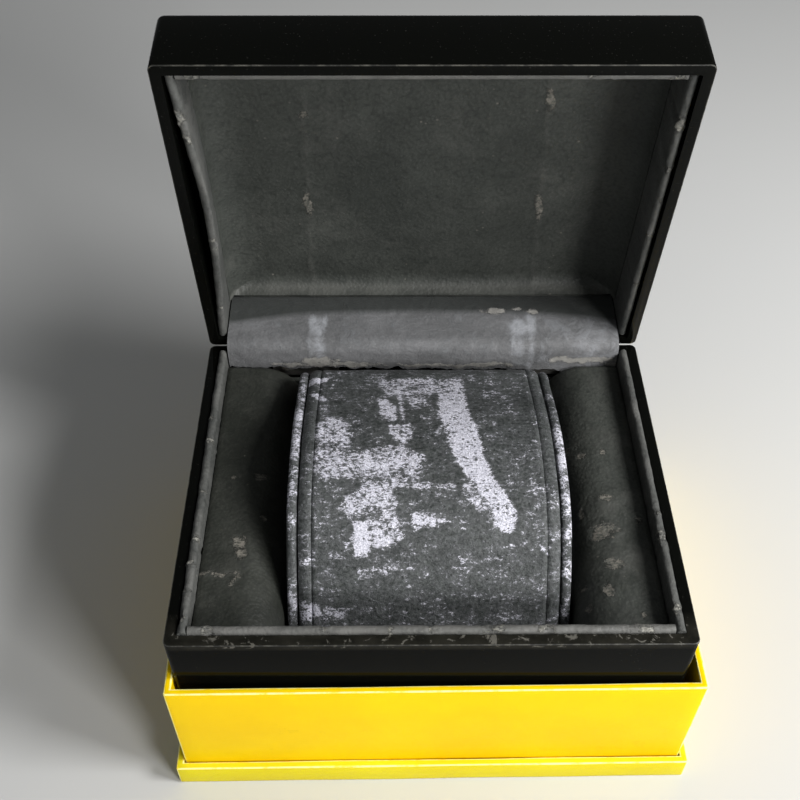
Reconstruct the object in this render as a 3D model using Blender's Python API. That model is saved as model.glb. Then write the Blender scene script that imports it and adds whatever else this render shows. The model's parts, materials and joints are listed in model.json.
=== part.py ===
"""Hinged watch box with a lined lid and a watch saddle, standing in its card carton base.

Metres, +Z up. X runs along the hinge, -Y is the front. The origin lies on the underside of
the carton, below the middle of the box. The lid stands open at rest.
"""
import math

import bmesh
import bpy
from mathutils import Matrix, Vector

# Fits
GAP = 0.0003                # between two pieces that touch
FINE_GAP = 0.0001           # between the small hinge pieces

# Moulded box
BOX_WIDTH = 0.155
BOX_DEPTH = 0.1226
BASE_HEIGHT = 0.0746        # base shell, underside to rim
SHELL_WALL = 0.0034
SHELL_FLOOR = 0.0030
SHELL_CORNER = 0.0020
LID_HEIGHT = 0.0300
LID_BEVEL = 0.0080          # how far the bevel round the lid's top comes in
LID_BEVEL_HEIGHT = 0.0077
LID_ROOF = 0.0030
LID_OPEN_DEG = 82.5

# Lining
LINER_THICKNESS = 0.0027
REAR_LINER_THICKNESS = 0.0016
LIP_PROUD = 0.0012          # base lips stand above the rim
LIP_CLEARANCE = 0.0005      # between base and lid lips when the lid is closed
REAR_LINER_PLAY = 0.0020    # rear board starts this far below the hinge leaves
PLATFORM_DROP = 0.0420      # top of the insert platform below the rim
PLATFORM_THICKNESS = 0.0020
PAD_DROP = 0.0050           # flat part of a side pad below the rim
PAD_THICKNESS = 0.0025
PAD_FLAT = 0.0115           # width of the flat part
PAD_FALL = 0.0140           # height of the rounded part
LID_PAD_THICKNESS = 0.0022
LID_COVE_WIDTH = 0.0140     # soft cove between ceiling and walls
LID_COVE_DEPTH = 0.0085
FLAP_THICKNESS = 0.0007
FLAP_BASE_LENGTH = 0.0080
FLAP_LID_LENGTH = 0.0240

# Watch saddle
SADDLE_WIDTH = 0.088
SADDLE_CORE = 0.0024
SADDLE_FACE = 0.0016
SADDLE_LINING = 0.0010
PIPING_WIDTH = 0.0032
PIPING_HEIGHT = 0.0022
PIPING_SLOT = 0.0013        # between the piping and the saddle's face
SADDLE_WELL_CLEARANCE = 0.0012
SADDLE_CREST = 0.0102       # above the rim
SADDLE_FRONT_PLAY = 0.0039  # from the lining to the saddle, front and rear
SADDLE_REAR_PLAY = 0.0038
SADDLE_DRAWN_LENGTH = 0.1028    # the saddle's outline is drawn at this length

# Hinges
HINGE_SPACING = 0.086
HINGE_LENGTH = 0.0240
KNUCKLE_LENGTH = 0.0060
KNUCKLE_RADIUS = 0.0018
LEAF_THICKNESS = 0.0006
LEAF_HEIGHT = 0.0110
PIN_RADIUS = 0.00075
PIN_CLEARANCE = 0.00015
SCREW_SPACING = 0.0140
SCREW_MARGIN = 0.0040       # screw line to the free edge of its leaf
SCREW_HEAD_RADIUS = 0.0016
SCREW_HEAD = 0.0004
SCREW_RADIUS = 0.0008
SCREW_BITE = 0.0020         # length of thread in the shell wall

# Carton base
CARTON_BOARD = 0.0021       # shoulder walls
PLINTH_BOARD = 0.0024
CARTON_FLOOR = 0.0020
CARTON_HEIGHT = 0.0567
PLINTH_HEIGHT = 0.0104
CARTON_SIDE_PLAY = 0.0021
CARTON_FRONT_PLAY = 0.0020
CARTON_CORNER = 0.0006
CARTON_SHIFT = 0.0012       # the box stands off-centre in the carton
CARTON_TURN_DEG = 0.5

# Places worked out from the sizes above
BASE_Z = CARTON_FLOOR + GAP
RIM_Z = BASE_Z + BASE_HEIGHT
HINGE_Y = BOX_DEPTH / 2
HINGE_Z = RIM_Z + GAP / 2
LID_RIM_Z = RIM_Z + GAP
LID_BAND = LID_HEIGHT - LID_BEVEL_HEIGHT
LID_CEILING_Z = LID_RIM_Z + LID_HEIGHT - LID_ROOF - GAP - LID_PAD_THICKNESS
WALL_IN_X = BOX_WIDTH / 2 - SHELL_WALL
WALL_IN_Y = BOX_DEPTH / 2 - SHELL_WALL
FLOOR_Z = BASE_Z + SHELL_FLOOR
LINED_X = WALL_IN_X - GAP - LINER_THICKNESS
LINED_FRONT = -(WALL_IN_Y - GAP - LINER_THICKNESS)
REAR_LINER_Y = WALL_IN_Y - GAP - REAR_LINER_THICKNESS
PLATFORM_Z = RIM_Z - PLATFORM_DROP
SCREW_DROP = LEAF_HEIGHT - SCREW_MARGIN
LEAF_Y = WALL_IN_Y - FINE_GAP - LEAF_THICKNESS
SCREW_HEAD_Y = LEAF_Y - FINE_GAP - SCREW_HEAD
FLAP_OUT = HINGE_Y - SCREW_HEAD_Y + FINE_GAP
FLAP_IN = FLAP_OUT + FLAP_THICKNESS
LINED_REAR = HINGE_Y - FLAP_IN - GAP
FACE_LIFT = SADDLE_FACE + GAP
SADDLE_FRONT = LINED_FRONT + SADDLE_FRONT_PLAY
SADDLE_REAR = LINED_REAR - SADDLE_REAR_PLAY
SADDLE_FACE_WIDTH = SADDLE_WIDTH - 2 * (PIPING_WIDTH + PIPING_SLOT)
ROUND_STEPS = 16
FACE_TRIM = (8, 10)         # profile points that the face leaves bare at its two ends
LINING_TRIM = (4, 4)


def clear_scene():
    for item in list(bpy.data.objects):
        bpy.data.objects.remove(item, do_unlink=True)


def make_material(name, colour, roughness, metallic=0.0):
    material = bpy.data.materials.new(name)
    material.use_nodes = True
    shader = material.node_tree.nodes["Principled BSDF"]
    shader.inputs["Base Color"].default_value = (*colour, 1.0)
    shader.inputs["Roughness"].default_value = roughness
    shader.inputs["Metallic"].default_value = metallic
    return material


def make_frame(name, location, turn=(0.0, 0.0, 0.0)):
    """An empty that carries the pieces of one moving body."""
    empty = bpy.data.objects.new(name, None)
    empty.location = location
    empty.rotation_euler = turn
    bpy.context.collection.objects.link(empty)
    return empty


def add_piece(name, bm, material, frame, sharp_deg=35.0):
    """Turn a bmesh, drawn with every body in its closed place, into a piece of one body."""
    bmesh.ops.recalc_face_normals(bm, faces=bm.faces)
    mesh = bpy.data.meshes.new(name)
    bm.to_mesh(mesh)
    bm.free()
    mesh.transform(Matrix.Translation(-Vector(frame.location)))
    mesh.shade_smooth()
    mesh.set_sharp_from_angle(angle=math.radians(sharp_deg))
    mesh.materials.append(material)
    piece = bpy.data.objects.new(name, mesh)
    bpy.context.collection.objects.link(piece)
    piece.parent = frame
    return piece


def combine(piece, tool, operation):
    """Cut a tool out of a piece, or join it on, and hide the tool."""
    tool.hide_render = True
    tool.display_type = 'WIRE'
    step = piece.modifiers.new(tool.name, 'BOOLEAN')
    step.operation = operation
    step.solver = 'EXACT'
    step.object = tool


def loft(rings, closed=False):
    """Skin rings that hold the same number of points, and cap the ends unless closed."""
    bm = bmesh.new()
    loops = [[bm.verts.new(point) for point in ring] for ring in rings]
    pairs = list(zip(loops, loops[1:]))
    if closed:
        pairs.append((loops[-1], loops[0]))
    count = len(rings[0])
    for lower, upper in pairs:
        for i in range(count):
            j = (i + 1) % count
            bm.faces.new((lower[i], lower[j], upper[j], upper[i]))
    if not closed:
        bm.faces.new(loops[0])
        bm.faces.new(loops[-1])
    return bm


def block(low, high):
    """A box between two corners."""
    bm = bmesh.new()
    bmesh.ops.create_cube(bm, size=1.0)
    low = Vector(low)
    high = Vector(high)
    bmesh.ops.scale(bm, vec=high - low, verts=bm.verts)
    bmesh.ops.translate(bm, vec=(low + high) / 2, verts=bm.verts)
    return bm


def rod(start, end, radius, steps=ROUND_STEPS):
    """A cylinder between two points."""
    start = Vector(start)
    end = Vector(end)
    along = end - start
    turn = along.to_track_quat('Z', 'Y').to_matrix().to_4x4()
    bm = bmesh.new()
    bmesh.ops.create_cone(bm, cap_ends=True, segments=steps, radius1=radius, radius2=radius,
                          depth=along.length, matrix=Matrix.Translation((start + end) / 2) @ turn)
    return bm


def rectangle(x_low, x_high, y_low, y_high, z, radius, steps=3):
    """A rounded rectangle at height z, anticlockwise seen from above."""
    corners = ((x_high, y_high, 0), (x_low, y_high, 90), (x_low, y_low, 180), (x_high, y_low, 270))
    points = []
    for x, y, start in corners:
        centre_x = x - math.copysign(radius, x - (x_low + x_high) / 2)
        centre_y = y - math.copysign(radius, y - (y_low + y_high) / 2)
        for i in range(steps + 1):
            angle = math.radians(start + 90 * i / steps)
            points.append((centre_x + radius * math.cos(angle),
                           centre_y + radius * math.sin(angle), z))
    return points


def centred(width, depth, z, radius, inset=0.0):
    half_x = width / 2 - inset
    half_y = depth / 2 - inset
    return rectangle(-half_x, half_x, -half_y, half_y, z, max(radius - inset, radius / 4))


def across(outline, x_low, x_high):
    """Extrude a (y, z) outline along X."""
    return loft([[(x_low, y, z) for y, z in outline], [(x_high, y, z) for y, z in outline]])


def smooth_path(points, steps=4):
    """A Catmull-Rom curve through (y, z) points."""
    ends = [points[0]] + list(points) + [points[-1]]
    path = []
    for a, b, c, d in zip(ends, ends[1:], ends[2:], ends[3:]):
        for i in range(steps):
            t = i / steps
            path.append(tuple(0.5 * (2 * q + (r - p) * t + (2 * p - 5 * q + 4 * r - s) * t * t
                                     + (3 * q - p - 3 * r + s) * t ** 3)
                              for p, q, r, s in zip(a, b, c, d)))
    return path + [tuple(points[-1])]


def offset_path(path, distance):
    """Shift an open path to its right-hand side."""
    moved = []
    for i, (y, z) in enumerate(path):
        before = path[max(i - 1, 0)]
        after = path[min(i + 1, len(path) - 1)]
        run = math.hypot(after[0] - before[0], after[1] - before[1])
        moved.append((y + distance * (after[1] - before[1]) / run,
                      z - distance * (after[0] - before[0]) / run))
    return moved


# Carton base

def carton_base(frame, material):
    """Low tray of the carton: a floor with a plinth wall standing round the shoulder."""
    width = BOX_WIDTH + 2 * (CARTON_SIDE_PLAY + CARTON_BOARD + GAP + PLINTH_BOARD)
    depth = BOX_DEPTH + 2 * (CARTON_FRONT_PLAY + CARTON_BOARD + GAP + PLINTH_BOARD)
    rings = [centred(width, depth, 0.0, CARTON_CORNER),
             centred(width, depth, PLINTH_HEIGHT, CARTON_CORNER),
             centred(width, depth, PLINTH_HEIGHT, CARTON_CORNER, PLINTH_BOARD),
             centred(width, depth, CARTON_FLOOR, CARTON_CORNER, PLINTH_BOARD)]
    return add_local("carton_base", loft(rings), material, frame)


def carton_shoulder(frame, material):
    """Tall inner frame of the carton, which the carton's lid slides over."""
    width = BOX_WIDTH + 2 * (CARTON_SIDE_PLAY + CARTON_BOARD)
    depth = BOX_DEPTH + 2 * (CARTON_FRONT_PLAY + CARTON_BOARD)
    low = CARTON_FLOOR + GAP
    rings = [centred(width, depth, low, CARTON_CORNER),
             centred(width, depth, CARTON_HEIGHT, CARTON_CORNER),
             centred(width, depth, CARTON_HEIGHT, CARTON_CORNER, CARTON_BOARD),
             centred(width, depth, low, CARTON_CORNER, CARTON_BOARD)]
    return add_local("carton_shoulder", loft(rings, closed=True), material, frame)


def add_local(name, bm, material, frame):
    """A piece drawn about its frame's own centre."""
    bmesh.ops.translate(bm, vec=frame.location, verts=bm.verts)
    return add_piece(name, bm, material, frame)


# Moulded shells

def hinge_centres():
    return (("left", -HINGE_SPACING / 2), ("right", HINGE_SPACING / 2))


def screw_places(hinge_x):
    return (("outer", hinge_x + math.copysign(SCREW_SPACING / 2, hinge_x)),
            ("inner", hinge_x - math.copysign(SCREW_SPACING / 2, hinge_x)))


def cut_for_hinges(shell, frame, material, rim_z, side):
    """Notch the rear rim for the knuckles and drill the rear wall for the screws."""
    for label, x in hinge_centres():
        reach = HINGE_LENGTH / 2 + GAP
        depth = KNUCKLE_RADIUS + GAP
        low = min(rim_z - side * depth, rim_z + side * GAP)
        high = max(rim_z - side * depth, rim_z + side * GAP)
        notch = block((x - reach, WALL_IN_Y - GAP, low), (x + reach, HINGE_Y + GAP, high))
        combine(shell, add_piece(f"{shell.name}_notch_{label}", notch, material, frame),
                'DIFFERENCE')
        for place, screw_x in screw_places(x):
            z = rim_z - side * SCREW_DROP
            hole = rod((screw_x, WALL_IN_Y - GAP, z), (screw_x, WALL_IN_Y + SCREW_BITE + GAP, z),
                       SCREW_RADIUS + 2 * FINE_GAP)
            combine(shell, add_piece(f"{shell.name}_hole_{label}_{place}", hole, material, frame),
                    'DIFFERENCE')


def base_shell(frame, material):
    """Moulded lower half of the box, an open tray with a flat rim."""
    rings = [centred(BOX_WIDTH, BOX_DEPTH, BASE_Z, SHELL_CORNER),
             centred(BOX_WIDTH, BOX_DEPTH, RIM_Z, SHELL_CORNER),
             centred(BOX_WIDTH, BOX_DEPTH, RIM_Z, SHELL_CORNER, SHELL_WALL),
             centred(BOX_WIDTH, BOX_DEPTH, FLOOR_Z, SHELL_CORNER, SHELL_WALL)]
    shell = add_piece("base_shell", loft(rings), material, frame)
    cut_for_hinges(shell, frame, material, RIM_Z, 1)
    return shell


def lid_shell(frame, material):
    """Moulded upper half, with a bevel round its top, drawn closed."""
    top = LID_RIM_Z + LID_HEIGHT
    ceiling = top - LID_ROOF
    inner_bevel = LID_BEVEL * (LID_BEVEL_HEIGHT - LID_ROOF) / LID_BEVEL_HEIGHT
    rings = [centred(BOX_WIDTH, BOX_DEPTH, top, SHELL_CORNER, LID_BEVEL),
             centred(BOX_WIDTH, BOX_DEPTH, LID_RIM_Z + LID_BAND, SHELL_CORNER),
             centred(BOX_WIDTH, BOX_DEPTH, LID_RIM_Z, SHELL_CORNER),
             centred(BOX_WIDTH, BOX_DEPTH, LID_RIM_Z, SHELL_CORNER, SHELL_WALL),
             centred(BOX_WIDTH, BOX_DEPTH, LID_RIM_Z + LID_BAND, SHELL_CORNER, SHELL_WALL),
             centred(BOX_WIDTH, BOX_DEPTH, ceiling, SHELL_CORNER, SHELL_WALL + inner_bevel)]
    shell = add_piece("lid_shell", loft(rings), material, frame)
    cut_for_hinges(shell, frame, material, LID_RIM_Z, -1)
    return shell


# Linings

def lipped_outline(outer, z_foot, z_lip, side):
    """Section of a lining board from its foot to its rounded lip.

    outer is the face against the shell and side the direction from there into the box.
    """
    radius = LINER_THICKNESS / 2
    up = math.copysign(1.0, z_lip - z_foot)
    middle = outer + side * radius
    points = [(outer, z_foot), (outer, z_lip - up * radius)]
    for i in range(1, 4):
        angle = math.pi * i / 4
        points.append((middle - side * radius * math.cos(angle),
                       z_lip - up * radius + up * radius * math.sin(angle)))
    points.append((outer + side * LINER_THICKNESS, z_lip - up * radius))
    points.append((outer + side * LINER_THICKNESS, z_foot))
    return points


def side_liner(name, side, z_foot, z_lip, frame, material):
    """Covered board along a side wall, from the front wall to the rear wall."""
    outline = lipped_outline(side * (WALL_IN_X - GAP), z_foot, z_lip, -side)
    front = -(WALL_IN_Y - GAP)
    rear = WALL_IN_Y - GAP
    rings = [[(x, front, z) for x, z in outline], [(x, rear, z) for x, z in outline]]
    return add_piece(name, loft(rings), material, frame)


def front_liner(name, z_foot, z_lip, frame, material):
    """Covered board along the front wall, between the side boards."""
    outline = lipped_outline(-(WALL_IN_Y - GAP), z_foot, z_lip, 1)
    reach = LINED_X - GAP
    return add_piece(name, across(outline, -reach, reach), material, frame)


def base_liners(frame, material):
    foot = FLOOR_Z + GAP
    lip = RIM_Z + LIP_PROUD
    side_liner("base_liner_left", -1, foot, lip, frame, material)
    side_liner("base_liner_right", 1, foot, lip, frame, material)
    front_liner("base_liner_front", foot, lip, frame, material)
    reach = LINED_X - GAP
    board = block((-reach, REAR_LINER_Y, foot),
                  (reach, WALL_IN_Y - GAP, RIM_Z - LEAF_HEIGHT - REAR_LINER_PLAY))
    add_piece("base_liner_rear", board, material, frame)


def lid_liners(frame, material):
    foot = LID_RIM_Z + LID_BAND
    lip = RIM_Z + LIP_PROUD + LIP_CLEARANCE
    side_liner("lid_liner_left", -1, foot, lip, frame, material)
    side_liner("lid_liner_right", 1, foot, lip, frame, material)
    front_liner("lid_liner_front", foot, lip, frame, material)


def insert_platform(frame, material):
    """Folded card bridge inside the base that carries the pads and the saddle."""
    outer = LINED_X - GAP
    inner = outer - PLATFORM_THICKNESS
    low = FLOOR_Z + GAP
    under = PLATFORM_Z - PLATFORM_THICKNESS
    outline = [(-outer, low), (-outer, PLATFORM_Z), (outer, PLATFORM_Z), (outer, low),
               (inner, low), (inner, under), (-inner, under), (-inner, low)]
    front = LINED_FRONT + GAP
    rear = REAR_LINER_Y - GAP
    rings = [[(x, front, z) for x, z in outline], [(x, rear, z) for x, z in outline]]
    return add_piece("insert_platform", loft(rings), material, frame)


def side_pad(name, side, frame, material):
    """Covered board beside the saddle: flat by the wall, then rounded down into the well."""
    wall_x = LINED_X - GAP
    well_x = SADDLE_WIDTH / 2 + SADDLE_WELL_CLEARANCE
    round_width = wall_x - PAD_FLAT - well_x
    top = RIM_Z - PAD_DROP
    path = [(wall_x, top)]
    steps = 8
    for i in range(steps + 1):
        angle = math.radians(90 * i / steps)
        path.append((well_x + round_width * (1 - math.sin(angle)),
                     top - PAD_FALL * (1 - math.cos(angle))))
    path.append((well_x, PLATFORM_Z + GAP))
    under = offset_path(path, -PAD_THICKNESS)
    under[0] = (wall_x, top - PAD_THICKNESS)
    under[-1] = (well_x + PAD_THICKNESS, PLATFORM_Z + GAP)
    outline = path + under[::-1]
    front = LINED_FRONT + GAP
    rings = [[(side * x, front, z) for x, z in outline],
             [(side * x, LINED_REAR, z) for x, z in outline]]
    return add_piece(name, loft(rings), material, frame)


def lid_pad(frame, material):
    """Padded ceiling of the lid, coved where it meets the walls."""
    back = LID_RIM_Z + LID_HEIGHT - LID_ROOF - GAP
    reach = LINED_X - GAP
    front = LINED_FRONT + GAP
    edge_z = LID_CEILING_Z - LID_COVE_DEPTH
    chamfer = SHELL_CORNER * 3
    rings = [rectangle(-reach + chamfer, reach - chamfer, front + chamfer, LINED_REAR - chamfer,
                       back, SHELL_CORNER),
             rectangle(-reach, reach, front, LINED_REAR, LID_RIM_Z + LID_BAND, SHELL_CORNER),
             rectangle(-reach, reach, front, LINED_REAR, edge_z, SHELL_CORNER)]
    steps = 6
    for i in range(1, steps + 1):
        angle = math.radians(90 * i / steps)
        inset = LID_COVE_WIDTH * (1 - math.cos(angle))
        z = edge_z + LID_COVE_DEPTH * math.sin(angle)
        rings.append(rectangle(-reach + inset, reach - inset, front + inset, LINED_REAR - inset,
                               z, SHELL_CORNER + inset / 2))
    return add_piece("lid_pad", loft(rings), material, frame)


def hinge_flap(frame, material):
    """Cloth strip over the hinges, drawn as it lies with the lid open."""
    def strip(radius, base_length, lid_length):
        open_angle = math.radians(LID_OPEN_DEG)
        points = [(-radius, -base_length)]
        steps = 8
        for i in range(steps + 1):
            angle = open_angle * i / steps
            points.append((-radius * math.cos(angle), radius * math.sin(angle)))
        points.append((-radius * math.cos(open_angle) + lid_length * math.sin(open_angle),
                       radius * math.sin(open_angle) + lid_length * math.cos(open_angle)))
        return [(HINGE_Y + y, HINGE_Z + z) for y, z in points]

    lid_length = min(FLAP_LID_LENGTH, LID_BAND)
    outline = strip(FLAP_OUT, FLAP_BASE_LENGTH, lid_length)
    outline += strip(FLAP_IN, FLAP_BASE_LENGTH, lid_length)[::-1]
    reach = LINED_X - GAP
    return add_piece("hinge_flap", across(outline, -reach, reach), material, frame)


# Watch saddle

def saddle_profile():
    """Outside of the saddle from its front foot over the crest to its rear foot, as (y, z)."""
    foot = -PLATFORM_DROP + GAP - FACE_LIFT
    crest = SADDLE_CREST
    stretch = (SADDLE_REAR - SADDLE_FRONT) / SADDLE_DRAWN_LENGTH
    from_front = ((0.0090, foot), (0.0027, foot + 0.0014), (0.0, foot + 0.0070),
                  (0.0031, -0.0290), (0.0084, -0.0197), (0.0164, -0.0069),
                  (0.0284, crest - 0.0047), (0.0424, crest - 0.0002))
    from_rear = ((0.0394, crest - 0.0004), (0.0134, crest - 0.0080), (0.0060, crest - 0.0103),
                 (0.0015, crest - 0.0145), (0.0, -0.0120), (0.0002, foot + 0.0080),
                 (0.0033, foot + 0.0014), (0.0098, foot))
    points = [(SADDLE_FRONT + y * stretch, z) for y, z in from_front]
    points += [(SADDLE_REAR - y * stretch, z) for y, z in from_rear]
    return smooth_path([(y, RIM_Z + z) for y, z in points])


def band(path, inner, outer, trim=(0, 0)):
    """Closed outline between two offsets of a path, less a few points at each end."""
    kept = slice(trim[0], len(path) - trim[1])
    return offset_path(path, outer)[kept] + offset_path(path, inner)[kept][::-1]


def saddle_pieces(frame, covering, board):
    """Sprung C-shaped band, its padded face, its inner lining and the piped edges."""
    profile = saddle_profile()
    half = SADDLE_WIDTH / 2
    core_outer = FACE_LIFT
    core_inner = FACE_LIFT + SADDLE_CORE
    add_piece("saddle_core", across(band(profile, core_inner, core_outer), -half, half),
              board, frame)
    face = band(profile, SADDLE_FACE, 0.0, FACE_TRIM)
    add_piece("saddle_face", across(face, -SADDLE_FACE_WIDTH / 2, SADDLE_FACE_WIDTH / 2),
              covering, frame)
    lining = band(profile, core_inner + GAP + SADDLE_LINING, core_inner + GAP, LINING_TRIM)
    add_piece("saddle_lining", across(lining, -half + GAP, half - GAP), covering, frame)
    for label, side in (("left", -1), ("right", 1)):
        add_piece(f"saddle_piping_{label}", piping(profile, side), covering, frame)


def piping(profile, side):
    """Rounded covered edge that runs along one side of the saddle's face."""
    outer_x = SADDLE_WIDTH / 2
    kept = slice(FACE_TRIM[0], len(profile) - FACE_TRIM[1])
    seat = offset_path(profile, SADDLE_FACE)[kept]
    crown = offset_path(profile, SADDLE_FACE - PIPING_HEIGHT)[kept]
    section = ((0.0, 0.0), (0.0, 0.6), (0.2, 0.92), (0.5, 1.0), (0.8, 0.92), (1.0, 0.6), (1.0, 0.0))
    rings = []
    for (seat_y, seat_z), (crown_y, crown_z) in zip(seat, crown):
        rings.append([(side * (outer_x - across_part * PIPING_WIDTH),
                       seat_y + up_part * (crown_y - seat_y),
                       seat_z + up_part * (crown_z - seat_z))
                      for across_part, up_part in section])
    return loft(rings)


# Hinges

def hinge_leaf(name, hinge_x, rim_z, side, knuckles, frame, material):
    """Leaf on the inside of a rear wall, with arms through the notch to its knuckles."""
    half = HINGE_LENGTH / 2
    near = rim_z - side * FINE_GAP
    far = near - side * LEAF_HEIGHT
    plate = block((hinge_x - half, LEAF_Y, min(near, far)),
                  (hinge_x + half, LEAF_Y + LEAF_THICKNESS, max(near, far)))
    leaf = add_piece(name, plate, material, frame)
    arm_far = near - side * LEAF_THICKNESS
    for number, (start, end) in enumerate(knuckles):
        arm = block((hinge_x + start, LEAF_Y, min(near, arm_far)),
                    (hinge_x + end, HINGE_Y, max(near, arm_far)))
        combine(leaf, add_piece(f"{name}_arm_{number}", arm, material, frame), 'UNION')
        barrel = rod((hinge_x + start, HINGE_Y, HINGE_Z), (hinge_x + end, HINGE_Y, HINGE_Z),
                     KNUCKLE_RADIUS)
        combine(leaf, add_piece(f"{name}_barrel_{number}", barrel, material, frame), 'UNION')
    bore = rod((hinge_x - half - GAP, HINGE_Y, HINGE_Z), (hinge_x + half + GAP, HINGE_Y, HINGE_Z),
               PIN_RADIUS + PIN_CLEARANCE)
    combine(leaf, add_piece(f"{name}_bore", bore, material, frame), 'DIFFERENCE')
    for place, screw_x in screw_places(hinge_x):
        z = rim_z - side * SCREW_DROP
        hole = rod((screw_x, LEAF_Y - GAP, z), (screw_x, WALL_IN_Y + GAP, z),
                   SCREW_RADIUS + FINE_GAP)
        combine(leaf, add_piece(f"{name}_hole_{place}", hole, material, frame), 'DIFFERENCE')


def hinge_screw(name, x, rim_z, side, frame, material):
    """Short screw from the leaf into the shell wall."""
    z = rim_z - side * SCREW_DROP
    steps = 12
    sections = ((SCREW_HEAD_RADIUS, SCREW_HEAD_Y), (SCREW_HEAD_RADIUS, SCREW_HEAD_Y + SCREW_HEAD),
                (SCREW_RADIUS, SCREW_HEAD_Y + SCREW_HEAD), (SCREW_RADIUS, WALL_IN_Y + SCREW_BITE))
    rings = [[(x + radius * math.cos(2 * math.pi * i / steps), y,
               z + radius * math.sin(2 * math.pi * i / steps)) for i in range(steps)]
             for radius, y in sections]
    add_piece(name, loft(rings), material, frame)


def hinges(base_frame, lid_frame, material):
    half = HINGE_LENGTH / 2
    outer_knuckles = ((-half, -half + KNUCKLE_LENGTH), (half - KNUCKLE_LENGTH, half))
    middle = half - KNUCKLE_LENGTH - GAP
    for label, x in hinge_centres():
        hinge_leaf(f"hinge_base_leaf_{label}", x, RIM_Z, 1, outer_knuckles, base_frame, material)
        hinge_leaf(f"hinge_lid_leaf_{label}", x, LID_RIM_Z, -1, ((-middle, middle),),
                   lid_frame, material)
        pin = rod((x - half, HINGE_Y, HINGE_Z), (x + half, HINGE_Y, HINGE_Z), PIN_RADIUS)
        add_piece(f"hinge_pin_{label}", pin, material, base_frame)
        for place, screw_x in screw_places(x):
            hinge_screw(f"base_screw_{label}_{place}", screw_x, RIM_Z, 1, base_frame, material)
            hinge_screw(f"lid_screw_{label}_{place}", screw_x, LID_RIM_Z, -1, lid_frame, material)


def main():
    clear_scene()
    moulding = make_material("black_moulding", (0.010, 0.011, 0.010), 0.22)
    leatherette = make_material("grey_leatherette", (0.045, 0.052, 0.050), 0.62)
    facing = make_material("saddle_leatherette", (0.070, 0.078, 0.082), 0.58)
    cloth = make_material("hinge_cloth", (0.150, 0.155, 0.160), 0.70)
    card = make_material("grey_card", (0.080, 0.080, 0.080), 0.85)
    paper = make_material("yellow_paper", (0.870, 0.660, 0.030), 0.50)
    steel = make_material("hinge_steel", (0.520, 0.510, 0.500), 0.35, 1.0)

    carton = make_frame("carton_frame", (CARTON_SHIFT, 0.0, 0.0),
                        (0.0, 0.0, math.radians(CARTON_TURN_DEG)))
    box = make_frame("box_frame", (0.0, 0.0, BASE_Z))
    saddle = make_frame("saddle_frame", (0.0, 0.0, PLATFORM_Z))
    lid = make_frame("lid_hinge_axis", (0.0, HINGE_Y, HINGE_Z),
                     (-math.radians(LID_OPEN_DEG), 0.0, 0.0))

    carton_base(carton, paper)
    carton_shoulder(carton, paper)
    base_shell(box, moulding)
    base_liners(box, leatherette)
    insert_platform(box, card)
    side_pad("pad_left", -1, box, leatherette)
    side_pad("pad_right", 1, box, leatherette)
    hinge_flap(box, cloth)
    saddle_pieces(saddle, facing, card)
    lid_shell(lid, moulding)
    lid_liners(lid, leatherette)
    lid_pad(lid, leatherette)
    hinges(box, lid, steel)


main()
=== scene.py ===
import json
import math

import bmesh
import bpy
from mathutils import Matrix, Vector, noise
from mathutils.bvhtree import BVHTree


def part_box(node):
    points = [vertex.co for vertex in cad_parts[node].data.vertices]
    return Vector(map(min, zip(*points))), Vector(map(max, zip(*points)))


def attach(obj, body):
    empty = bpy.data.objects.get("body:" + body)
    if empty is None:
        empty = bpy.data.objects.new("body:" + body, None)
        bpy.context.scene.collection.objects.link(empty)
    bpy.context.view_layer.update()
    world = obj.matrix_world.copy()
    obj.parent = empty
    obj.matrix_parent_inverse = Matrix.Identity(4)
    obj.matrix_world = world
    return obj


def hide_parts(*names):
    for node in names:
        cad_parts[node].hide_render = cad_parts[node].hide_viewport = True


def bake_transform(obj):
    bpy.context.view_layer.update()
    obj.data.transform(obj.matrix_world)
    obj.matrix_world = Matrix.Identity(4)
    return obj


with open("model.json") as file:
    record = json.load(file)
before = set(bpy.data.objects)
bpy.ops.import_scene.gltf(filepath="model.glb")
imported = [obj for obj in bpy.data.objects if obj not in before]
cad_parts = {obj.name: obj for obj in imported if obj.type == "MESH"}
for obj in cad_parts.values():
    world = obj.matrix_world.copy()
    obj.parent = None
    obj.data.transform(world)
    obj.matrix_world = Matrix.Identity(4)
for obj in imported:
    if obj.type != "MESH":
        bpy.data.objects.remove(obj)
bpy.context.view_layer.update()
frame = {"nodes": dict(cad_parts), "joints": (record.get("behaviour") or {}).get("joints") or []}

# places that the whole model is built around
hinge = [joint for joint in frame["joints"] if joint["name"] == "lid_hinge"][0]
hingePoint = Vector(hinge["pos_m"])
openAngle = math.radians(hinge["range_deg"][1])
baseLow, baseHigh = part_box("base_shell")
rimZ = baseHigh.z
gap = 0.0003
openLid = (Matrix.Translation(hingePoint) @ Matrix.Rotation(-openAngle, 4, 'X')
           @ Matrix.Translation(-hingePoint))
closeLid = openLid.inverted()


def closedBox(node):
    # box of a lid node as it is with the lid shut
    places = [closeLid @ vertex.co for vertex in frame["nodes"][node].data.vertices]
    low = Vector([min(place[i] for place in places) for i in range(3)])
    high = Vector([max(place[i] for place in places) for i in range(3)])
    return low, high


# small helpers for modelling

def deselect():
    bpy.ops.object.select_all(action='DESELECT')


def only(piece):
    deselect()
    piece.select_set(True)
    bpy.context.view_layer.objects.active = piece


def addBlock(name, low, high):
    low, high = Vector(low), Vector(high)
    deselect()
    bpy.ops.mesh.primitive_cube_add(size=1, location=(low + high) / 2)
    piece = bpy.context.object
    piece.name = name
    piece.scale = high - low
    bpy.ops.object.transform_apply(location=True, rotation=False, scale=True)
    return piece


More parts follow.
